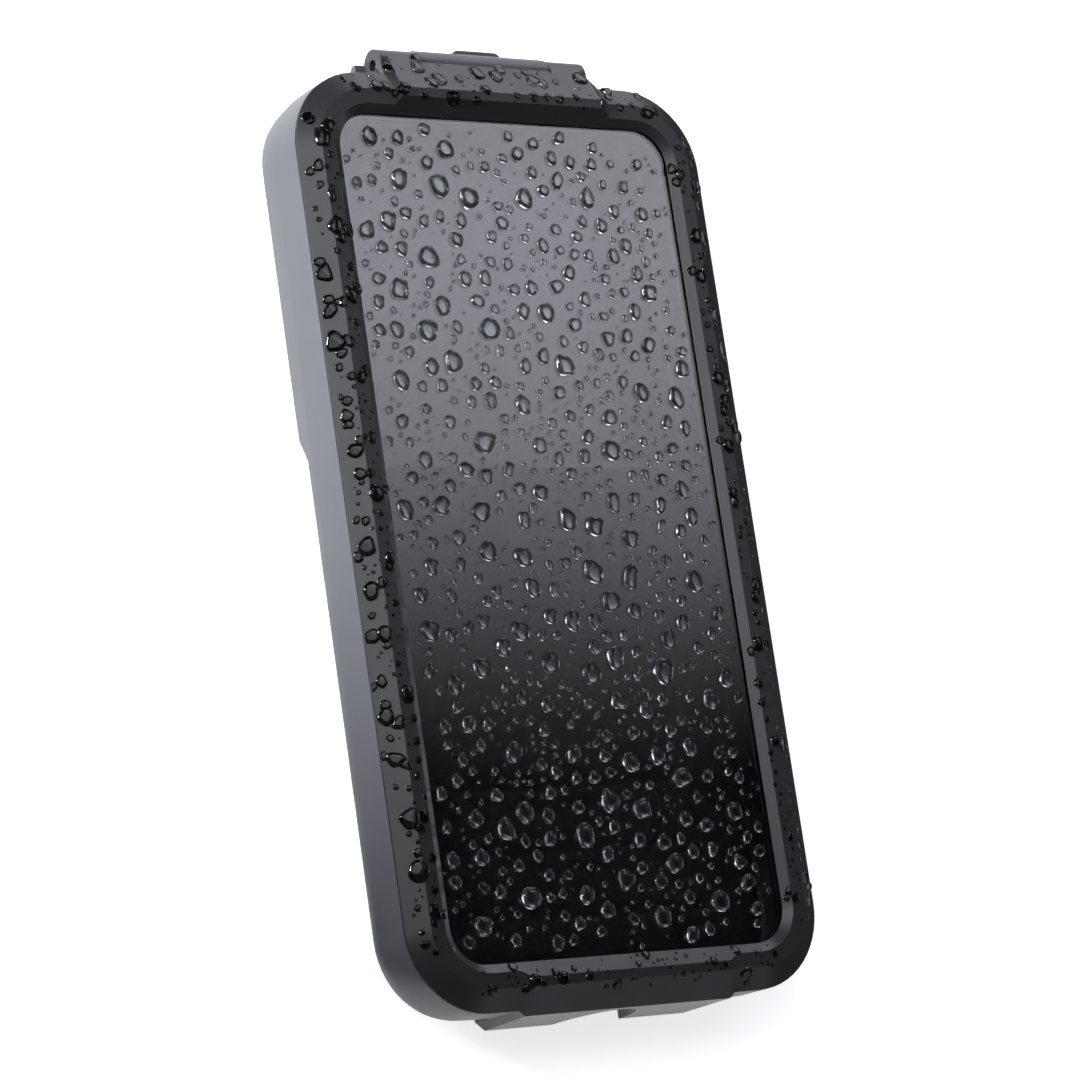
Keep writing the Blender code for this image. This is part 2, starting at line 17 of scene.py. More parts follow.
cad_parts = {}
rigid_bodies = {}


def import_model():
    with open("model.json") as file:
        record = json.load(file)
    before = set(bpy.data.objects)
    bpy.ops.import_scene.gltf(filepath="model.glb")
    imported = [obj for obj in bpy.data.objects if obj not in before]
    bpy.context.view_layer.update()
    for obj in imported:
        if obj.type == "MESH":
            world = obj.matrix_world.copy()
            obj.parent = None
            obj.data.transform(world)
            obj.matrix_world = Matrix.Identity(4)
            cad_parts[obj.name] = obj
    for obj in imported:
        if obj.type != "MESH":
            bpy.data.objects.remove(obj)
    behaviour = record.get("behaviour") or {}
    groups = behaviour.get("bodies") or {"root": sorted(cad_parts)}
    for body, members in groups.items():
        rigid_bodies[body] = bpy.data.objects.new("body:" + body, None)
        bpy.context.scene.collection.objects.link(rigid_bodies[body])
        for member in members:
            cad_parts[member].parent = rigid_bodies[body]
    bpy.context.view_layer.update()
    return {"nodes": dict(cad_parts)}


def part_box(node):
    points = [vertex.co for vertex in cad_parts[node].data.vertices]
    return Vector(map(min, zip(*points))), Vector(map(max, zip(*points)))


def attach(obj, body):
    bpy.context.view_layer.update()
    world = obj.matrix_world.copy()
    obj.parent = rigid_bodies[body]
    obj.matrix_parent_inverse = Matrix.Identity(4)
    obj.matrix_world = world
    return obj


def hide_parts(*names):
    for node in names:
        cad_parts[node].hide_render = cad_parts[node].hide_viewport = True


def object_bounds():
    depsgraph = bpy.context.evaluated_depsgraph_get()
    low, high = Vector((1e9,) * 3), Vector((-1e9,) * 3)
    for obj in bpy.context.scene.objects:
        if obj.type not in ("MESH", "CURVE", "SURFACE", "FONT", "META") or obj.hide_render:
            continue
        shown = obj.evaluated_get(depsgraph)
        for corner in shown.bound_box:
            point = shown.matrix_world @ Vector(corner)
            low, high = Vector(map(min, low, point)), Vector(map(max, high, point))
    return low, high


for startup in list(bpy.data.objects):
    bpy.data.objects.remove(startup, do_unlink=True)
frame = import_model()
MM = 0.001

# %% [markdown]
# The photograph was taken from the lower left, with a long lens that hardly narrows the far end.
# The camera's place and turn were worked out from the straight edges and corner arcs of the lid
# and the tray. Two directions are written down, right and up. The third, backwards, away from what
# the camera looks at, follows from them.

# %% Place the camera
LENS_MM = 133.89
SENSOR_MM = 36.0
CAMERA_PLACE = Vector((-0.40919, -0.14716, 0.59038))
CAMERA_RIGHT = Vector((0.82555, -0.14299, 0.54591))
CAMERA_UP = Vector((0.00682, 0.96982, 0.24371))


def make_camera():
    camera_data = bpy.data.cameras.new("photo_camera")
    camera_data.lens = LENS_MM
    camera_data.sensor_width = SENSOR_MM
    camera = bpy.data.objects.new("photo_camera", camera_data)
    bpy.context.scene.collection.objects.link(camera)
    back = CAMERA_RIGHT.cross(CAMERA_UP)
    turn = Matrix((CAMERA_RIGHT, CAMERA_UP, back)).transposed().to_4x4()
    camera.matrix_world = Matrix.Translation(CAMERA_PLACE) @ turn
    bpy.context.scene.camera = camera


make_camera()
bpy.context.scene.view_settings.view_transform = "Standard"
print("camera stands", round(CAMERA_PLACE.length, 3), "m from the case")

# %% [markdown]
# Colours are picked as sRGB hex values, as on a screen, and turned to the linear values that
# Blender calculates with. One helper adds a node, sets its settings, and fills or links its inputs.


# %% Colour and node helpers
def srgb(text):
    """A linear colour from a hex value such as 3c3d41."""
    channels = [int(text[i : i + 2], 16) / 255 for i in (0, 2, 4)]
    linear = [v / 12.92 if v <= 0.04045 else ((v + 0.055) / 1.055) ** 2.4 for v in channels]
    return (*linear, 1.0)


def add_node(owner, kind, inputs=None, **settings):
    """Adds a node to a material or a node group.

    An input that is given a socket is linked, and any other value is set. Inputs go by name, or by
    number where names repeat: in a Mix node 0 is the factor, and 6 and 7 are the two colours.
    """
    tree = getattr(owner, "node_tree", owner)
    node = tree.nodes.new(kind)
    for name, value in settings.items():
        setattr(node, name, value)
    for name, value in (inputs or {}).items():
        if isinstance(value, bpy.types.NodeSocket):
            tree.links.new(value, node.inputs[name])
        else:
            node.inputs[name].default_value = value
    return node


def start_material(name, **sockets):
    """A material with its Principled shader, whose plain numbers are set by name."""
    material = bpy.data.materials.new(name)
    material.use_nodes = True
    shader = material.node_tree.nodes["Principled BSDF"]
    for socket, value in sockets.items():
        shader.inputs[socket.replace("_", " ")].default_value = value
    return material, shader


def join_input(material, shader, socket, output):
    material.node_tree.links.new(output, shader.inputs[socket])


print("mid grey 808080 is", round(srgb("808080")[0], 3), "in linear light")

# %% [markdown]
# The tray and the lid are polycarbonate blend, injection moulded in a mould whose walls were spark
# eroded. That gives the eye a dense matt surface with a very fine grain. The real grain is about
# 0.1 mm, too fine for a pixel, so it is drawn three times as coarse. Handling and release from the
# mould leave slow changes of gloss, a few millimetres wide. The lid is coloured darker than the
# tray. Part of that is a real difference in tone, and part is painted: painted light for the pale,
# lit wall of the tray and painted shade for the lid's dark slopes.

# %% Moulded plastic
GRAIN_MM = 0.3
GRAIN_HEIGHT_MM = 0.006
GRAIN_STRENGTH = 0.35
GLOSS_PATCH_MM = 9.0


def moulded_plastic(name, dark, light, least_rough, most_rough, **sockets):
    material, shader = start_material(name, **sockets)
    place = add_node(material, "ShaderNodeTexCoord").outputs["Object"]
    grain = add_node(
        material,
        "ShaderNodeTexNoise",
        {"Vector": place, "Scale": 1 / (GRAIN_MM * MM), "Detail": 3.0},
    )
    patches = add_node(
        material,
        "ShaderNodeTexNoise",
        {"Vector": place, "Scale": 1 / (GLOSS_PATCH_MM * MM), "Detail": 4.0, "Roughness": 0.6},
    )
    colour = add_node(
        material,
        "ShaderNodeMix",
        {0: patches.outputs["Fac"], 6: srgb(dark), 7: srgb(light)},
        data_type="RGBA",
    )
    rough = add_node(
        material,
        "ShaderNodeMapRange",
        {
            "Value": patches.outputs["Fac"],
            "From Min": 0.3,
            "From Max": 0.7,
            "To Min": least_rough,
            "To Max": most_rough,
        },
    )
    bump = add_node(
        material,
        "ShaderNodeBump",
        {
            "Height": grain.outputs["Fac"],
            "Strength": GRAIN_STRENGTH,
            "Distance": GRAIN_HEIGHT_MM * MM,
        },
    )
    join_input(material, shader, "Base Color", colour.outputs[2])
    join_input(material, shader, "Roughness", rough.outputs["Result"])
    join_input(material, shader, "Normal", bump.outputs["Normal"])
    return material


POLYCARBONATE_IOR = 1.50
# Part of the gap between these two colours is a real difference in tone. The rest is painted light
# on the tray's lit wall and painted shade on the lid's dark slopes.
shell_plastic = moulded_plastic(
    "polycarbonate_blend_tray", "3b3c41", "414247", 0.36, 0.44, IOR=POLYCARBONATE_IOR
)
lid_plastic = moulded_plastic(
    "polycarbonate_blend_lid", "18181b", "1d1d20", 0.32, 0.38, IOR=POLYCARBONATE_IOR
)
print("made", shell_plastic.name, "and", lid_plastic.name)

# %% [markdown]
# Each of the other finishes is a real material too. The window is a clear thermoplastic urethane
# film, glossy with a trace of haze. The ring that holds it is black nylon. The hinge pin is drawn
# stainless steel, with fine lines round it. The gasket is silicone rubber, soft and dull. The
# pocket is lined with closed-cell EVA foam, whose cut face shows small pores.

# %% Film, nylon, steel, rubber and foam
HAZE_PATCH_MM = 14.0
DRAWN_LINE_MM = 2.0


def clear_film():
    material, shader = start_material(
        "urethane_film_clear", Base_Color=srgb("f4f6f7"), IOR=1.50, Transmission_Weight=1.0
    )
    place = add_node(material, "ShaderNodeTexCoord").outputs["Object"]
    haze = add_node(
        material,
        "ShaderNodeTexNoise",
        {"Vector": place, "Scale": 1 / (HAZE_PATCH_MM * MM), "Detail": 2.0},
    )
    rough = add_node(
        material,
        "ShaderNodeMapRange",
        {"Value": haze.outputs["Fac"], "To Min": 0.0, "To Max": 0.02},
    )
    join_input(material, shader, "Roughness", rough.outputs["Result"])
    return material


def drawn_steel():
    material, shader = start_material(
        "stainless_steel_drawn", Base_Color=srgb("b9babc"), Metallic=1.0, Anisotropic=0.5
    )
    place = add_node(material, "ShaderNodeTexCoord").outputs["Object"]
    lines = add_node(
        material,
        "ShaderNodeTexWave",
        {"Vector": place, "Scale": 1 / (DRAWN_LINE_MM * MM), "Distortion": 2.0},
        bands_direction="X",
    )
    rough = add_node(
        material,
        "ShaderNodeMapRange",
        {"Value": lines.outputs["Fac"], "To Min": 0.22, "To Max": 0.34},
    )
    join_input(material, shader, "Roughness", rough.outputs["Result"])
    return material


def porous(name, dark, light, pore_mm, depth_mm, roughness, **sockets):
    """Rubber or foam: cells of a real size, deeper between them, with painted shade in those gaps.
    """
    material, shader = start_material(name, Roughness=roughness, **sockets)
    place = add_node(material, "ShaderNodeTexCoord").outputs["Object"]
    cells = add_node(
        material,
        "ShaderNodeTexVoronoi",
        {"Vector": place, "Scale": 1 / (pore_mm * MM), "Randomness": 1.0},
    )
    # The colour darkens where the bump sinks between cells: painted shade in the gaps.
    colour = add_node(
        material,
        "ShaderNodeMix",
        {0: cells.outputs["Distance"], 6: srgb(light), 7: srgb(dark)},
        data_type="RGBA",
    )
    bump = add_node(
        material,
        "ShaderNodeBump",
        {"Height": cells.outputs["Distance"], "Strength": 0.6, "Distance": depth_mm * MM},
        invert=True,
    )
    join_input(material, shader, "Base Color", colour.outputs[2])
    join_input(material, shader, "Normal", bump.outputs["Normal"])
    return material


film_material = clear_film()
steel = drawn_steel()
nylon = moulded_plastic("nylon_black_moulded", "0f0f10", "161617", 0.42, 0.52, IOR=1.53)
silicone = porous(
    "silicone_rubber", "141415", "202022", pore_mm=0.6, depth_mm=0.01, roughness=0.62, IOR=1.41
)
foam = porous(
    "eva_foam_closed_cell",
    "08080a",
    "131315",
    pore_mm=0.7,
    depth_mm=0.08,
    roughness=0.92,
    IOR=1.45,
    Sheen_Weight=0.1,
)
print("made", [m.name for m in (film_material, steel, nylon, silicone, foam)])

# %% [markdown]
# No moulded edge is truly sharp: the mould rounds it by a few tenths of a millimetre, and that
# round catches a thin line of light. A Weld modifier joins the corners that the model file keeps
# apart, and a Bevel modifier rounds each edge that turns by more than a set angle. The model file
# also has flat facets on its curves. A small group of geometry nodes shades them as one curve, up
# to the same angle, and Weighted Normal keeps the large faces flat. The meshes themselves stay as
# the CAD made them, because all of this is done by modifiers.

# %% Finish the hard parts
EDGE_ROUND_MM = 0.18
EDGE_ROUND_PARTS = 2
WELD_MM = 0.001
SHARP_TURN = math.radians(28)


def curve_shading():
    """A group that shades faces as one curve wherever they meet at less than the sharp turn."""
    group = bpy.data.node_groups.new("shade_curves", "GeometryNodeTree")
    for way in ("INPUT", "OUTPUT"):
        group.interface.new_socket("Geometry", in_out=way, socket_type="NodeSocketGeometry")
    start = add_node(group, "NodeGroupInput")
    smooth = add_node(
        group, "GeometryNodeSetShadeSmooth", {"Geometry": start.outputs[0]}, domain="FACE"
    )
    turn = add_node(group, "GeometryNodeInputMeshEdgeAngle").outputs["Unsigned Angle"]
    sharp = add_node(
        group,
        "FunctionNodeCompare",
        {0: turn, 1: SHARP_TURN},
        data_type="FLOAT",
        operation="GREATER_THAN",
    )
    edges = add_node(
        group,
        "GeometryNodeSetShadeSmooth",
        {
            "Geometry": smooth.outputs[0],
            "Selection": sharp.outputs["Result"],
            "Shade Smooth": False,
        },
        domain="EDGE",
    )
    add_node(group, "NodeGroupOutput", {0: edges.outputs[0]})
    return group


shade_curves = curve_shading()


def finish_part(node, material, edge_mm=0.0):
    part = frame["nodes"][node]
    for index in range(len(part.material_slots)):
        part.material_slots[index].material = material
    weld = part.modifiers.new("join_corners", "WELD")
    weld.merge_threshold = WELD_MM * MM
    if edge_mm:
        bevel = part.modifiers.new("round_edges", "BEVEL")
        bevel.width = edge_mm * MM
        bevel.segments = EDGE_ROUND_PARTS
        bevel.limit_method = "ANGLE"
        bevel.angle_limit = SHARP_TURN
    part.modifiers.new("shade_curves", "NODES").node_group = shade_curves
    part.modifiers.new("keep_faces_flat", "WEIGHTED_NORMAL").keep_sharp = True


finish_part("rear_shell", shell_plastic, EDGE_ROUND_MM)
finish_part("lid_frame", lid_plastic, EDGE_ROUND_MM)
finish_part("window_film", film_material)
finish_part("window_retainer", nylon, EDGE_ROUND_MM)
finish_part("hinge_pin", steel)
print("finished", sorted(frame["nodes"]))

# %% [markdown]
# The pocket is lined with foam cut from sheet. Cut foam has no hard edges: its rim rounds over and
# its face bulges a little in the middle, and the back sheet has grooves across it that let air out.
# A box with a bump map would still look like a box, so each pad is a grid of points laid over the
# place of its CAD solid. The grid is closer at the rim, where the foam rounds over.

# %% Rows of points for a pad
PAD_EDGE_MM = 0.6
PAD_CROWN_MM = 0.12
GROOVE_WIDTH_MM = 2.4
GROOVE_DEPTH_MM = 0.7
GROOVE_REACH_MM = 31.0
FIRST_STEP_MM, STEP_GROWTH = 0.12, 1.5


def stations(length, step):
    """Places along one side of a pad, close together near both ends."""
    near, gap = [0.0], FIRST_STEP_MM * MM
    while gap < step and near[-1] + gap < length / 2:
        near.append(near[-1] + gap)
        gap *= STEP_GROWTH
    count = max(1, round((length - 2 * near[-1]) / step))
    span = (length - 2 * near[-1]) / count
    middle = [near[-1] + span * index for index in range(1, count)]
    return near + middle + [length - place for place in reversed(near)]


def rounding(distance, radius):
    """How far a rounded edge has dropped at a distance from its rim."""
    short = max(0.0, radius - distance)
    return radius - math.sqrt(max(0.0, radius * radius - short * short))


def pad_rows(width, length, corner, step, grooves):
    """Rows of (across, along, drop) that follow the pad's round corners, crown and grooves."""
    rows = []
    for along in stations(length, step):
        end = min(along, length - along)
        half = width / 2 - rounding(end, corner)
        row = []
        for place in stations(width, step):
            share = 2 * place / width - 1
            edge = min(end, half * (1 - abs(share)))
            crown = PAD_CROWN_MM * MM * (share**2 + (2 * along / length - 1) ** 2) / 2
            drop = rounding(edge, PAD_EDGE_MM * MM) + crown
            for groove in range(1, grooves + 1):
                off = (along - length * groove / (grooves + 1)) / (GROOVE_WIDTH_MM * MM / 2)
                if abs(off) < 1 and abs(share * half) < GROOVE_REACH_MM * MM:
                    drop += GROOVE_DEPTH_MM * MM * (1 - off * off)
            row.append((share * half, along, drop))
        rows.append(row)
    return rows


print("places on a side of 5 mm:", [round(v / MM, 2) for v in stations(5 * MM, MM)])

# %% [markdown]
# Every soft piece is a closed mesh. Its faces have to look outward, it rides on the shell or on the
# lid, and a slot says what it is made of. One helper does all this. It shades the faces as one
# curve, except where they meet at more than a set angle.

# %% Closed pieces
SOFT_SHARP_TURN = math.radians(50)


def make_piece(name, points, faces, material, body):
    """A closed mesh that faces outward, with its material and its body."""
    mesh = bpy.data.meshes.new(name)
    mesh.from_pydata(points, [], faces)
    facing = bmesh.new()
    facing.from_mesh(mesh)
    bmesh.ops.recalc_face_normals(facing, faces=facing.faces)
    facing.to_mesh(mesh)
    facing.free()
    mesh.materials.append(material)
    mesh.shade_smooth()
    mesh.set_sharp_from_angle(angle=SOFT_SHARP_TURN)
    piece = bpy.data.objects.new(name, mesh)
    bpy.context.scene.collection.objects.link(piece)
    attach(piece, body)
    return piece


print("edges stay sharp over", round(math.degrees(SOFT_SHARP_TURN)), "degrees")

# %% [markdown]
# One sheet lies on the back of the pocket and four strips line its sides. A pad stands flat on the
# wall behind it, and only its free face is crowned and rounded. It fills the box of its CAD solid,
# so it keeps the place that was planned for it.

# %% Foam pads
SHEET_CORNER_MM, SHEET_STEP_MM, SHEET_GROOVES = 10.0, 0.8, 7
STRIP_CORNER_MM, STRIP_STEP_MM = 0.7, 1.5
ACROSS, ALONG, UP = 0, 1, 2


def foam_pad(node, name, axes, rises, corner_mm, step_mm, grooves=0):
    """A pad in place of a CAD solid. axes are its width, length and thickness as 0, 1 or 2.

    rises is 1 where the soft face looks along the thickness axis, and -1 where it looks back.
    """
    low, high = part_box(node)
    wide, long, thick = axes
    size = high - low
    rows = pad_rows(size[wide], size[long], corner_mm * MM, step_mm * MM, grooves)
    flat = [spot for row in rows for spot in row]
    soft, hard = (high, low) if rises > 0 else (low, high)
    points = []
    for is_back in (False, True):
        for across, along, drop in flat:
            point = Vector()
            point[wide] = low[wide] + size[wide] / 2 + across
            point[long] = low[long] + along
            point[thick] = hard[thick] if is_back else soft[thick] - rises * drop
            points.append(point)
    columns, count = len(rows[0]), len(flat)
    faces = []
    for i in range(len(rows) - 1):
        for j in range(columns - 1):
            a, b = i * columns + j, (i + 1) * columns + j
            faces += [(a, a + 1, b + 1, b), (count + a, count + b, count + b + 1, count + a + 1)]
    last = (len(rows) - 1) * columns
    rim = list(range(columns)) + [i * columns + columns - 1 for i in range(1, len(rows))]
    rim += [last + j for j in range(columns - 2, -1, -1)]
    rim += [i * columns for i in range(len(rows) - 2, 0, -1)]
    faces += [(b, a, count + a, count + b) for a, b in zip(rim, rim[1:] + rim[:1])]
    piece = make_piece(name, points, faces, foam, "shell")
    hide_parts(node)
    return piece


pads = [
    foam_pad(
        "back_pad",
        "foam_back_sheet",
        (ACROSS, ALONG, UP),
        1,
        SHEET_CORNER_MM,
        SHEET_STEP_MM,
        SHEET_GROOVES,
    )
]
for node, name, axes, rises in (
    ("left_pad", "foam_strip_left", (UP, ALONG, ACROSS), 1),
    ("right_pad", "foam_strip_right", (UP, ALONG, ACROSS), -1),
    ("top_pad", "foam_strip_top", (UP, ACROSS, ALONG), -1),
    ("bottom_pad", "foam_strip_bottom", (UP, ACROSS, ALONG), 1),
):
    pads.append(foam_pad(node, name, axes, rises, STRIP_CORNER_MM, STRIP_STEP_MM))
print("pads:", {pad.name: len(pad.data.polygons) for pad in pads})

# %% [markdown]
# The gasket is one endless ring of silicone, pressed into the ledge inside the tray's rim. Its top
# has two small round beads that the lid squeezes. A curve with a bevel object could make it, but a
# short list of section points swept round the ledge's rounded rectangle keeps every corner exact.

# %% Gasket
GASKET_CORNER_MM = 12.0
GASKET_WIDTH_MM = 0.85
CORNER_PARTS = 16
BEAD_PARTS = 6


def gasket_section(height):
    """(inset, height) points: a flat foot, straight sides and two beads on top."""
    bead = GASKET_WIDTH_MM * MM / 4
    section = [(4 * bead, 0.0), (0.0, 0.0)]
    for centre in (bead, 3 * bead):
        for part in range(BEAD_PARTS + 1):
            angle = math.pi * (1 - part / BEAD_PARTS)
            x, z = centre + bead * math.cos(angle), height - bead + bead * math.sin(angle)
            section.append((x, z))
    return section[:-1] + [(4 * bead, height - bead)]


def make_gasket():
    low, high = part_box("rim_seal")
    section = gasket_section(high[2] - low[2])
    middle = (low + high) / 2
    radius = GASKET_CORNER_MM * MM
    points = []
    for turn, (side_x, side_y) in enumerate(((1, 1), (-1, 1), (-1, -1), (1, -1))):
        centre_x = middle[0] + side_x * ((high[0] - low[0]) / 2 - radius)
        centre_y = middle[1] + side_y * ((high[1] - low[1]) / 2 - radius)
        for part in range(CORNER_PARTS + 1):
            angle = math.pi / 2 * (turn + part / CORNER_PARTS)
            for inset, height in section:
                x = centre_x + (radius - inset) * math.cos(angle)
                y = centre_y + (radius - inset) * math.sin(angle)
                points.append((x, y, low[2] + height))
    size = len(section)
    rings = len(points) // size
    faces = []
    for ring in range(rings):
        here, there = ring * size, (ring + 1) % rings * size
        for k in range(size):
            n = (k + 1) % size
            faces.append((here + k, there + k, there + n, here + n))
    piece = make_piece("silicone_gasket", points, faces, silicone, "shell")
    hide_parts("rim_seal")
    return piece


gasket = make_gasket()
print("gasket:", len(gasket.data.polygons), "faces")

# %% [markdown]
# Clear water has no colour and bends light by its index of 1.333. A faint ripple keeps its
# reflections from looking perfect. On matt plastic the water fills the grain, so the surface under
# it scatters less light and looks darker. Real water has no tint, but a dark one there gives that
# look.

# %% Water
WATER_IOR = 1.333
RIPPLE_MM = 1.6
RIPPLE_HEIGHT_MM = 0.06
RIPPLE_STRENGTH = 0.25


def rain_water(name, tint):
    material, shader = start_material(
        name,
        Base_Color=srgb(tint),
        Roughness=0.0,
        IOR=WATER_IOR,
        Transmission_Weight=1.0,
    )
    place = add_node(material, "ShaderNodeTexCoord").outputs["Object"]
    ripple = add_node(
        material,
        "ShaderNodeTexNoise",
        {"Vector": place, "Scale": 1 / (RIPPLE_MM * MM), "Detail": 1.0},
    )
    bump = add_node(
        material,
        "ShaderNodeBump",
        {
            "Height": ripple.outputs["Fac"],
            "Strength": RIPPLE_STRENGTH,
            "Distance": RIPPLE_HEIGHT_MM * MM,
        },
    )
    join_input(material, shader, "Normal", bump.outputs["Normal"])
    return material


clear_water = rain_water("rain_water", "fafcfd")
dark_water = rain_water("rain_water_on_matt_plastic", "4c4c50")
print("made", clear_water.name, "and", dark_water.name)

# %% [markdown]
# Rain on a slick surface stands in separate drops. Surface tension pulls each one up to a dome, and
# spots where the water sticks keep its outline uneven, like a pebble's. A metaball would give only
# smooth round blobs, so each drop is built of rings of points that follow its own outline. A ray
# cast down on the part finds the surface under each point, so a drop can lie over an edge. Where
# the part ends, the outline is pulled in until it meets the part again.

# %% The shape of a drop
LIFT_MM = 0.02
LEAN = 0.12
LEAST_RISE, MOST_RISE = 0.22, 0.34
LEAST_FLATS, MOST_FLATS = 6, 8
FLAT_SHIFT = 0.28
NEAREST_FLAT = 0.64
BLUNT = 7
FLAT_TOP = 5.0
BIG_DROP = ((0.4, 0.66, 0.82, 0.92, 0.98, 1.0), 22)
SMALL_DROP = ((0.5, 0.82, 0.97, 1.0), 12)
SMALL_RADIUS_MM = 0.8
EDGE_STEP = 0.92
EDGE_LIMIT = 0.05
RAY_START_MM = 10


def surface_of(node):
    """A function that gives the point and the normal of the node's surface under a place."""
    mesh = frame["nodes"][node].data
    tree = BVHTree.FromPolygons([v.co for v in mesh.vertices], [p.vertices for p in mesh.polygons])
    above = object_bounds()[1][2] + RAY_START_MM * MM

    def find(x, y):
        point, normal, _, _ = tree.ray_cast(Vector((x, y, above)), Vector((0, 0, -1)))
        return (point, normal) if point else None

    return find


def pebble_outline(chance, stretch):
    """A function that gives the outline's reach by angle: a polygon with blunt corners."""
    count = chance.randint(LEAST_FLATS, MOST_FLATS)
    turn = chance.uniform(0, 2 * math.pi)
    flats = []
    for index in range(count):
        shift = chance.uniform(-FLAT_SHIFT, FLAT_SHIFT)
        angle = turn + 2 * math.pi * (index + shift) / count
        away = chance.uniform(NEAREST_FLAT, 1.0) * (1 - stretch * math.cos(2 * angle))
        flats.append((angle, away))

    def reach(angle):
        total = sum(max(0.0, math.cos(angle - flat) / away) ** BLUNT for flat, away in flats)
        return total ** (-1 / BLUNT)

    return reach


def add_drop(points, faces, find, chance, x, y, radius, stretch, tallest):
    """Adds one closed dome. Its outline stops at the edge of the part, where real drops cling."""
    rings, sides = SMALL_DROP if radius < SMALL_RADIUS_MM * MM else BIG_DROP
    outline = pebble_outline(chance, stretch)
    height = min(tallest, radius * chance.uniform(LEAST_RISE, MOST_RISE))
    seat = find(x, y)
    if not seat:
        return
    up = seat[1]
    drop = [seat[0] + up * (height + LIFT_MM * MM)]
    for share in rings:
        swell = height * (1 - share**FLAT_TOP) ** 0.5
        for side in range(sides):
            angle = 2 * math.pi * side / sides
            reach = radius * share * outline(angle)
            lean = -LEAN * radius * (1 - share)
            under = find(x + reach * math.cos(angle), y + reach * math.sin(angle) + lean)
            while not under and reach > EDGE_LIMIT * radius:
                reach *= EDGE_STEP
                under = find(x + reach * math.cos(angle), y + reach * math.sin(angle))
            if not under:
                return
            drop.append(under[0] + up * (swell + LIFT_MM * MM))
    start = len(points)
    points.extend(drop)
    for side in range(sides):
        after = (side + 1) % sides
        faces.append((start, start + 1 + side, start + 1 + after))
        for ring in range(len(rings) - 1):
            inner, outer = start + 1 + ring * sides, start + 1 + (ring + 1) * sides
            faces.append((inner + side, outer + side, outer + after, inner + after))
    last = start + 1 + (len(rings) - 1) * sides
    faces.append(tuple(last + side for side in reversed(range(sides))))


print("points of a big drop:", 1 + len(BIG_DROP[0]) * BIG_DROP[1])

# %% [markdown]
# Two drops that touch run into one, so the others keep apart. Each new drop tries random places
# until it is clear of those already placed, and the biggest go first. With a fixed seed the script
# gives the same rain each time.

# %% Scatter drops
WATER_SEED = 41
TRIES = 25
SPACING = 1.1


def is_clear(x, y, radius, placed):
    """Whether a drop here would keep its distance from all those placed."""
    return all(
        (x - a) ** 2 + (y - b) ** 2 > (SPACING * (radius + r)) ** 2 for a, b, r in placed
    )


def scatter(chance, sizes, low, high, taken=()):
    """Places (x, y, radius), the biggest first. One that finds no clear place is left out."""
    placed = list(taken)
    for count, least, most in sizes:
        for _ in range(count):
            for _ in range(TRIES):
                radius = chance.uniform(least, most) * MM
                x, y = chance.uniform(low[0], high[0]), chance.uniform(low[1], high[1])
                if is_clear(x, y, radius, placed):
                    placed.append((x, y, radius))
                    break
    return placed[len(taken) :]


print("a drop tries up to", TRIES, "places")

# %% [markdown]
# Most drops stand on the window, from large ones of about 5 mm down to a fine spray. Each row of
# sizes is a number of drops and their least and greatest radius in millimetres. A drop that would
# come near the lid's frame is left out.

# %% Drops on the window
WINDOW_DROPS = (
    (120, 1.8, 2.6),
    (270, 1.25, 1.8),
    (360, 0.65, 1.25),
    (560, 0.25, 0.65),
)
WINDOW_HALF_MM = (35.6, 76.6)
WINDOW_CORNER_MM = 8.5
WINDOW_TALLEST_MM = 0.9
WINDOW_STRETCH = 0.2
FRAME_MARGIN = 1.25


def inside_window(x, y, radius, middle):
    """Whether a drop lies inside the opening of the lid's frame."""
    over_x = abs(x) - (WINDOW_HALF_MM[0] - WINDOW_CORNER_MM) * MM
    over_y = abs(y - middle[1]) - (WINDOW_HALF_MM[1] - WINDOW_CORNER_MM) * MM
    reach = math.hypot(max(0, over_x), max(0, over_y)) + max(min(0, over_x), min(0, over_y))
    return reach + FRAME_MARGIN * radius < WINDOW_CORNER_MM * MM


def window_drops():
    chance = random.Random(WATER_SEED)
    low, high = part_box("window_film")
    middle = (low + high) / 2
    find = surface_of("window_film")
    points, faces = [], []
    for x, y, radius in scatter(chance, WINDOW_DROPS, low, high):
        if inside_window(x, y, radius, middle):
            stretch = chance.uniform(0.0, WINDOW_STRETCH)
            tallest = WINDOW_TALLEST_MM * MM
            add_drop(points, faces, find, chance, x, y, radius, stretch, tallest)
    return make_piece("rain_on_window", points, faces, clear_water, "lid")


on_window = window_drops()
print("window drops:", len(on_window.data.polygons), "faces")

# %% [markdown]
# On the lid's frame the drops gather on the sloping sides, on the ramp to the hinge and at the near
# end, because water runs there and stays at the edges. Each band gets a few large drops, then
# smaller ones and a fine spray between them. A large drop has often run together with one or two
# smaller ones, which makes its outline long and uneven. Each row below is a band: its large, coarse
# and fine drops, as on the window, then its left, right, near and far limits in millimetres.

# %% Drops on the lid's frame
LID_RAIN = (
    ((28, 1.1, 2.2), (40, 0.5, 1.1), (60, 0.2, 0.45), -42.6, -37.6, -78.0, 72.0),
    ((18, 1.3, 2.0), (40, 0.5, 1.1), (60, 0.2, 0.45), 37.6, 42.6, -78.0, 72.0),
    ((14, 1.6, 2.1), (20, 0.8, 1.5), (24, 0.2, 0.5), -33.0, 33.0, 76.0, 85.0),
    ((4, 1.2, 1.7), (14, 0.6, 1.2), (40, 0.2, 0.5), -33.0, 33.0, -86.5, -81.0),
)
LID_TALLEST_MM = 0.5
LID_STRETCH = 0.22
PARTNERS = 2
PARTNER_SHARE = 0.65
PARTNER_SIZE = (0.5, 0.85)
PARTNER_AWAY, PARTNER_OVERHANG = 0.8, 0.5


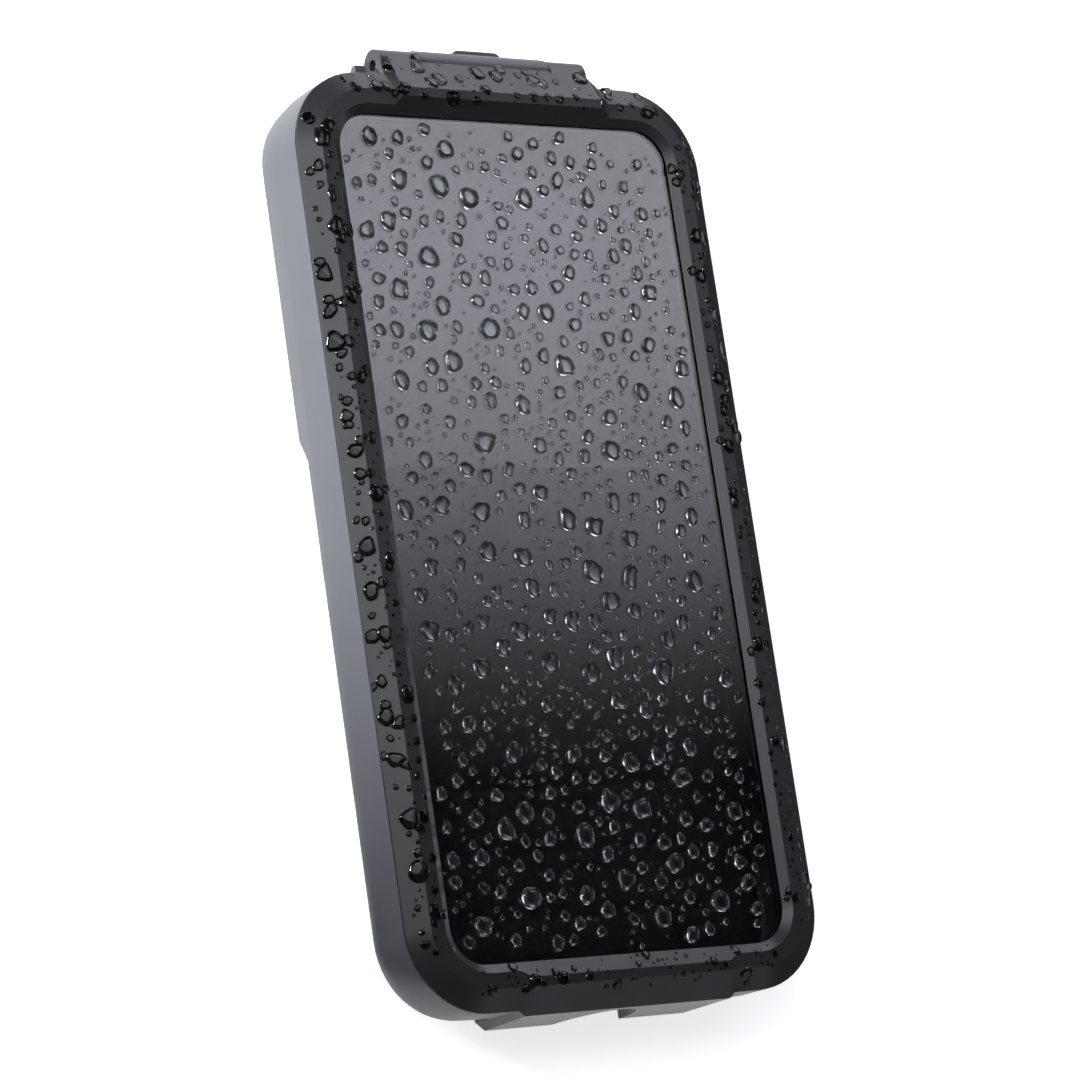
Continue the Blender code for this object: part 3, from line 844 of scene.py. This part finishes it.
def run_together(chance, x, y, radius):
    """The smaller drops that have run into a large one: none, one or two."""
    partners = []
    for _ in range(PARTNERS):
        if chance.random() < PARTNER_SHARE:
            angle = chance.uniform(0, 2 * math.pi)
            size = radius * chance.uniform(*PARTNER_SIZE)
            away = PARTNER_AWAY * radius + PARTNER_OVERHANG * size
            partners.append((x + away * math.cos(angle), y + away * math.sin(angle), size))
    return partners


def lid_drops():
    chance = random.Random(WATER_SEED + 1)
    find = surface_of("lid_frame")
    placed = []
    for large, coarse, fine, left, right, near, far in LID_RAIN:
        low, high = (left * MM, near * MM), (right * MM, far * MM)
        for drop in scatter(chance, (large,), low, high, placed):
            placed += [drop, *run_together(chance, *drop)]
        placed += scatter(chance, (coarse, fine), low, high, placed)
    points, faces = [], []
    for x, y, radius in placed:
        stretch = chance.uniform(0.0, LID_STRETCH)
        add_drop(points, faces, find, chance, x, y, radius, stretch, LID_TALLEST_MM * MM)
    return make_piece("rain_on_lid", points, faces, dark_water, "lid")


on_lid = lid_drops()
print("lid drops:", len(on_lid.data.polygons), "faces")

# %% [markdown]
# The case lies on a wide pale table. The table's colour is near white, and where the camera, glass
# or gloss sees it, light of its own lifts it to white. That light falls on nothing else, though it
# shows in what mirrors the table, and the case's soft shadow stays. The lift grows away from the
# case, where the lamps hardly reach.

# %% Table
TABLE_HALF = 6.0
TABLE_GAP = 0.02 * MM
SPECKLE_MM = 3.0
NEAR_GLOW, FAR_GLOW = 0.78, 1.1
NEAR_REACH, FAR_REACH = 0.25, 1.2


def table_top():
    material, shader = start_material("table_laminate_white", Roughness=0.75, IOR=1.46)
    place = add_node(material, "ShaderNodeTexCoord").outputs["Object"]
    speckle = add_node(
        material,
        "ShaderNodeTexNoise",
        {"Vector": place, "Scale": 1 / (SPECKLE_MM * MM), "Detail": 2.0},
    )
    colour = add_node(
        material,
        "ShaderNodeMix",
        {0: speckle.outputs["Fac"], 6: srgb("f3f3f4"), 7: srgb("f7f7f8")},
        data_type="RGBA",
    )
    rays = add_node(material, "ShaderNodeLightPath")
    seen = add_node(
        material,
        "ShaderNodeMath",
        {0: rays.outputs["Is Camera Ray"], 1: rays.outputs["Is Glossy Ray"]},
        operation="MAXIMUM",
    )
    seen = add_node(
        material,
        "ShaderNodeMath",
        {0: seen.outputs["Value"], 1: rays.outputs["Is Transmission Ray"]},
        operation="MAXIMUM",
    )
    reach = add_node(material, "ShaderNodeVectorMath", {0: place}, operation="LENGTH")
    lift = add_node(
        material,
        "ShaderNodeMapRange",
        {
            "Value": reach.outputs["Value"],
            "From Min": NEAR_REACH,
            "From Max": FAR_REACH,
            "To Min": NEAR_GLOW,
            "To Max": FAR_GLOW,
        },
    )
    glow = add_node(
        material,
        "ShaderNodeMath",
        {0: seen.outputs["Value"], 1: lift.outputs["Result"]},
        operation="MULTIPLY",
    )
    join_input(material, shader, "Base Color", colour.outputs[2])
    join_input(material, shader, "Emission Color", colour.outputs[2])
    join_input(material, shader, "Emission Strength", glow.outputs["Value"])
    mesh = bpy.data.meshes.new("table")
    corners = [(-1, -1), (1, -1), (1, 1), (-1, 1)]
    points = [(TABLE_HALF * x, TABLE_HALF * y, -TABLE_GAP) for x, y in corners]
    mesh.from_pydata(points, [], [(0, 1, 2, 3)])
    mesh.materials.append(material)
    table = bpy.data.objects.new("table", mesh)
    bpy.context.scene.collection.objects.link(table)


table_top()
print("table is", 2 * TABLE_HALF, "m wide")

# %% [markdown]
# Six soft boxes light the case. The low one on the left makes the tray's wall pale at the far end,
# the one past the hinge lights the ramp, and a weak one shows the near end. The spread is a beam's
# full angle: 180 degrees is a bare panel, and a smaller one has a grid in front. Each row says
# where a box stands, what it faces, its side in metres, its spread, its watts and its tint.

# %% Soft boxes
SOFT_BOXES = {
    "left_softbox": ((-0.52, 0.20, 0.12), (-0.044, 0.045, 0.01), 0.14, 32, 0.36, "fbfcff"),
    "camera_softbox": ((-0.42, 0.17, 0.60), (0, 0, 0.015), 0.30, 180, 0.75, "fbfcff"),
    "hinge_softbox": ((0.44, 0.71, 0.23), (0, 0.08, 0.012), 0.40, 180, 1.5, "f1f4ff"),
    "near_softbox": ((0.42, -0.70, 0.30), (0, -0.09, 0.01), 0.35, 180, 0.35, "f1f4ff"),
    "right_softbox": ((0.75, 0.05, 0.24), (0, 0, 0.015), 0.25, 60, 0.05, "f1f4ff"),
    "overhead_softbox": ((-0.25, 0.35, 0.85), (0, 0.02, 0.015), 0.5, 180, 1.8, "f3f5ff"),
}


def softbox(name, place, aim, side, spread, watts, tint):
    light = bpy.data.lights.new(name, "AREA")
    light.size = side
    light.spread = math.radians(spread)
    light.energy = watts
    light.color = srgb(tint)[:3]
    panel = bpy.data.objects.new(name, light)
    panel.location = place
    panel.rotation_euler = (Vector(aim) - Vector(place)).to_track_quat("-Z", "Y").to_euler()
    bpy.context.scene.collection.objects.link(panel)


for name, settings in SOFT_BOXES.items():
    softbox(name, *settings)

# %% [markdown]
# Gloss shows what stands round the case. A lit card is what the window mirrors: bright far away and
# dark near, so the film shows a grey sheen that fades. Black felt lies on the table on both sides,
# as photographers do to get dark edges. Only gloss sees the felt.

# %% Cards
CARD_LIGHT = 3.2
CARD_FAR_Y, CARD_NEAR_Y = 0.26, 0.045
CARD_LOW, CARD_HIGH, CARD_HEIGHT = (0.34, -0.12), (0.52, 0.32), 0.6
RIGHT_LOW, RIGHT_HIGH = (0.0445, -0.4), (0.8, 0.6)
LEFT_LOW, LEFT_HIGH = (-0.4, -0.4), (-0.0445, 0.0)
RIGHT_CLEAR_Y, RIGHT_SOLID_Y = 0.34, 0.16
LEFT_CLEAR_Y, LEFT_SOLID_Y = 0.0, -0.07
FELT_HEIGHT = 0.001


def flat_card(name, material, low, high, height):
    mesh = bpy.data.meshes.new(name)
    corners = [(low[0], low[1]), (high[0], low[1]), (high[0], high[1]), (low[0], high[1])]
    mesh.from_pydata([(x, y, height) for x, y in corners], [], [(0, 1, 2, 3)])
    mesh.materials.append(material)
    card = bpy.data.objects.new(name, mesh)
    bpy.context.scene.collection.objects.link(card)
    card.visible_camera = False
    return card


def glowing_board():
    material, shader = start_material(
        "board_white_lit", Base_Color=srgb("000000"), Roughness=1.0
    )
    place = add_node(material, "ShaderNodeTexCoord").outputs["Object"]
    y = add_node(material, "ShaderNodeSeparateXYZ", {"Vector": place}).outputs["Y"]
    fade = add_node(
        material,
        "ShaderNodeMapRange",
        {
            "Value": y,
            "From Min": CARD_NEAR_Y,
            "From Max": CARD_FAR_Y,
            "To Min": 0.0,
            "To Max": CARD_LIGHT,
        },
        interpolation_type="SMOOTHSTEP",
    )
    join_input(material, shader, "Emission Strength", fade.outputs["Result"])
    shader.inputs["Emission Color"].default_value = srgb("f0f1fb")
    return material


def black_felt(name, clear_y, solid_y):
    """Black felt that thins out from one end to the other, so its reflection has no edge."""
    material, shader = start_material(name, Base_Color=srgb("050505"), Roughness=1.0)
    place = add_node(material, "ShaderNodeTexCoord").outputs["Object"]
    y = add_node(material, "ShaderNodeSeparateXYZ", {"Vector": place}).outputs["Y"]
    thin = add_node(
        material, "ShaderNodeMapRange", {"Value": y, "From Min": clear_y, "From Max": solid_y}
    )
    join_input(material, shader, "Alpha", thin.outputs["Result"])
    return material


flat_card("mirrored_card", glowing_board(), CARD_LOW, CARD_HIGH, CARD_HEIGHT)
right_felt = black_felt("felt_black_right", RIGHT_CLEAR_Y, RIGHT_SOLID_Y)
left_felt = black_felt("felt_black_left", LEFT_CLEAR_Y, LEFT_SOLID_Y)
for card in (
    flat_card("black_card_right", right_felt, RIGHT_LOW, RIGHT_HIGH, FELT_HEIGHT),
    flat_card("black_card_left", left_felt, LEFT_LOW, LEFT_HIGH, FELT_HEIGHT),
):
    card.visible_diffuse = card.visible_shadow = card.visible_transmission = False
print("felt:", right_felt.name, "and", left_felt.name)

# %% [markdown]
# A bright room is never quite black. A weak, even light from all sides fills the shadows a little.

# %% Light of the room
WORLD_LIGHT = 0.13
world = bpy.data.worlds.new("studio_air")
world.use_nodes = True
world.node_tree.nodes["Background"].inputs["Color"].default_value = srgb("f2f4fb")
world.node_tree.nodes["Background"].inputs["Strength"].default_value = WORLD_LIGHT
bpy.context.scene.world = world
print("room light:", WORLD_LIGHT)
